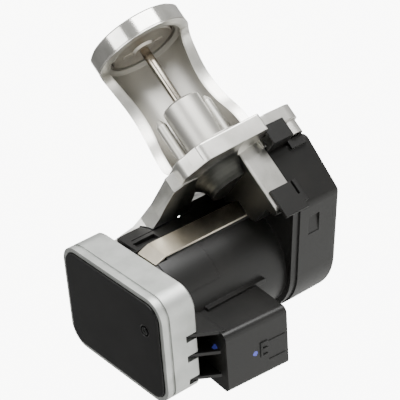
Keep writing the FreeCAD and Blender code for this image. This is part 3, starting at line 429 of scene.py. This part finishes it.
# Finishes of single nodes
BY_NODE = {
    "electronics_cover": cover_with_ring(),
    "valve_housing": valve_casting(),
    "motor_housing": housing_with_paint(),
    "valve_stem": heated_stem(),
}

for part in frame["record"]["subparts"]:
    solid = frame["nodes"][part["node"]]
    solid.data.materials.clear()
    if part["node"] in BY_NODE:
        solid.data.materials.append(BY_NODE[part["node"]])
    else:
        solid.data.materials.append(BY_SLOT[part["material_slot"]])


def wound_spring():
    # Return spring of round wire, in the place of the solid's eight-sided wire
    low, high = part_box("return_spring")
    wire_r = mm(SPRING_WIRE) / 2.0
    coil_r = (high[0] - low[0]) / 2.0 - wire_r
    climb = high[2] - low[2] - mm(SPRING_WIRE)
    start = (coil_r, 0.0, low[2] + wire_r)
    upright = (math.radians(90), 0, 0)
    bpy.ops.object.select_all(action="DESELECT")
    bpy.ops.mesh.primitive_circle_add(vertices=WIRE_SIDES, radius=wire_r, location=start, rotation=upright)
    coil = bpy.context.object
    coil.name = "return_spring_coil"
    bpy.ops.object.transform_apply(location=True, rotation=True, scale=True)
    winding = coil.modifiers.new("winding", "SCREW")
    winding.angle = math.radians(360)
    winding.iterations = SPRING_TURNS
    winding.screw_offset = climb / SPRING_TURNS
    winding.steps = STEPS_PER_TURN
    winding.render_steps = STEPS_PER_TURN
    bpy.ops.object.modifier_apply(modifier="winding")
    bpy.ops.object.mode_set(mode="EDIT")
    bpy.ops.mesh.select_all(action="SELECT")
    bpy.ops.mesh.remove_doubles(threshold=mm(WELD))
    bpy.ops.mesh.fill_holes(sides=0)
    bpy.ops.mesh.normals_make_consistent(inside=False)
    bpy.ops.object.mode_set(mode="OBJECT")
    bpy.ops.object.shade_smooth_by_angle(angle=SMOOTH_ANGLE)
    coil.data.materials.clear()
    coil.data.materials.append(BY_SLOT["spring_steel"])
    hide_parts("return_spring")
    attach(coil, "housing")
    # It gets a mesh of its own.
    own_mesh(coil)


def connector_frame():
    # Frame of the connector block: along the motor, tilted a little outwards
    roll = math.radians(270.0 - MOTOR_LEAN)
    tilt = math.radians(CONN_TILT)
    pivot = Matrix.Translation((mm(CONN_X0), mm(BODY_R), 0))
    motor = Matrix.Translation((0, mm(MOTOR_Y), mm(MOTOR_Z))) @ Matrix.Rotation(roll, 4, "X")
    return motor @ pivot @ Matrix.Rotation(tilt, 4, "Z") @ pivot.inverted()


def raised_bar(name, x, v, rise):
    # Low moulded bar on the end face of the connector block, sunk a little into it
    height = rise + BAR_SINK
    middle = Vector((mm(sum(x) / 2.0), mm(CONN_FACE_U + rise - height / 2.0), mm(sum(v) / 2.0)))
    size = Matrix.Diagonal((mm(x[1] - x[0]), mm(height), mm(v[1] - v[0]), 1.0))
    bpy.ops.object.select_all(action="DESELECT")
    bpy.ops.mesh.primitive_cube_add(size=1.0)
    bar = bpy.context.object
    bar.name = name
    bar.matrix_world = connector_frame() @ Matrix.Translation(middle) @ size
    bpy.ops.object.transform_apply(location=True, rotation=True, scale=True)
    edge = bar.modifiers.new("edge", "BEVEL")
    edge.width = mm(BAR_EDGE)
    edge.segments = BAR_EDGE_STEPS
    bpy.ops.object.modifier_apply(modifier="edge")
    bpy.ops.object.shade_smooth_by_angle(angle=SMOOTH_ANGLE)
    bar.data.materials.append(CONNECTOR_PLASTIC)
    return bar


def repeat_bar(bar, name, step):
    # Copy of a bar, with its own mesh, a step further across the connector's face
    bpy.ops.object.select_all(action="DESELECT")
    bar.select_set(True)
    bpy.context.view_layer.objects.active = bar
    bpy.ops.object.duplicate(linked=False)
    twin = bpy.context.object
    twin.name = name
    twin.location = connector_frame().to_3x3() @ Vector((0, 0, mm(step)))
    bpy.ops.object.transform_apply(location=True, rotation=True, scale=True)
    return twin


def connector_latch():
    # Latch of the connector: an upright with its teeth, and the two lines of the window beside it
    bars = [raised_bar("latch_upright", UPRIGHT_X, UPRIGHT_V, LATCH_RISE)]
    tooth = raised_bar("latch_tooth_0", TOOTH_X, TOOTH_V, LATCH_RISE)
    bars.append(tooth)
    for count in range(1, TOOTH_COUNT):
        bars.append(repeat_bar(tooth, "latch_tooth_%d" % count, count * TOOTH_PITCH))
    line = raised_bar("latch_line_0", LINE_X, LINE_V, LINE_RISE)
    bars.append(line)
    for count in range(1, LINE_COUNT):
        bars.append(repeat_bar(line, "latch_line_%d" % count, count * LINE_PITCH))
    for bar in bars:
        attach(bar, "housing")


def backdrop():
    # Dim room, brighter above, with one white wall straight behind the part
    world = bpy.data.worlds.new("studio")
    world.use_nodes = True
    tree = world.node_tree
    look = node(tree, "ShaderNodeTexCoord").outputs["Generated"]
    dot = {"operation": "DOT_PRODUCT"}
    ahead = node(tree, "ShaderNodeVectorMath", dot, {0: look, 1: tuple(CAM_VIEW)})
    upward = node(tree, "ShaderNodeVectorMath", dot, {0: look, 1: tuple(CAM_UP)})
    inputs = {"Value": upward.outputs["Value"], "From Min": -ROOM_SLOPE, "From Max": ROOM_SLOPE}
    room = node(tree, "ShaderNodeMapRange", {}, inputs)
    room.inputs["To Min"].default_value = ROOM_GLOW[0]
    room.inputs["To Max"].default_value = ROOM_GLOW[1]
    inputs = {"Value": ahead.outputs["Value"], "From Min": WALL_EDGE[0], "From Max": WALL_EDGE[1]}
    wall = node(tree, "ShaderNodeMapRange", {}, inputs)
    wall.inputs["To Max"].default_value = WALL_GLOW
    inputs = {0: room.outputs["Result"], 1: wall.outputs["Result"]}
    total = node(tree, "ShaderNodeMath", {"operation": "ADD"}, inputs)
    background = tree.nodes["Background"]
    background.inputs["Color"].default_value = srgb(WALL_COLOUR)
    tree.links.new(total.outputs["Value"], background.inputs["Strength"])
    bpy.context.scene.world = world


def softbox(name, place, size, power):
    # Rectangular lamp that faces its target
    data = bpy.data.lights.new(name, "AREA")
    data.shape = "RECTANGLE"
    data.size = size[0]
    data.size_y = size[1]
    data.energy = power
    lamp = bpy.data.objects.new(name, data)
    front = (CAM_PLACE - LIGHT_TARGET).normalized()
    away = CAM_RIGHT * place[0] + CAM_UP * place[1] + front * place[2]
    lamp.location = LIGHT_TARGET + away
    lamp.rotation_euler = (-away).to_track_quat("-Z", "Y").to_euler()
    bpy.context.scene.collection.objects.link(lamp)


def floor():
    # Sheet of white paper well below the part
    bpy.ops.mesh.primitive_plane_add(size=FLOOR_SIZE, location=(0, 0, FLOOR_Z))
    sheet = bpy.context.object
    sheet.name = "floor"
    mat, _, bsdf = material("matt_white_paper")
    bsdf.inputs["Base Color"].default_value = srgb(PAPER_WHITE)
    bsdf.inputs["Roughness"].default_value = PAPER_ROUGH
    sheet.data.materials.append(mat)


def camera():
    # The photograph's place, direction and lens
    data = bpy.data.cameras.new("camera")
    data.sensor_width = CAM_SENSOR
    data.lens = CAM_LENS
    data.clip_start = CAM_CLIP[0]
    data.clip_end = CAM_CLIP[1]
    cam = bpy.data.objects.new("camera", data)
    right = CAM_RIGHT.normalized()
    back = right.cross(CAM_UP).normalized()
    up = back.cross(right)
    turn = Matrix((right, up, back)).transposed().to_4x4()
    cam.matrix_world = Matrix.Translation(CAM_PLACE) @ turn
    bpy.context.scene.collection.objects.link(cam)
    bpy.context.scene.camera = cam


wound_spring()
connector_latch()
backdrop()
softbox("top_softbox", TOP_PLACE, TOP_BOX, TOP_POWER)
softbox("side_softbox", SIDE_PLACE, SIDE_BOX, SIDE_POWER)
floor()
camera()
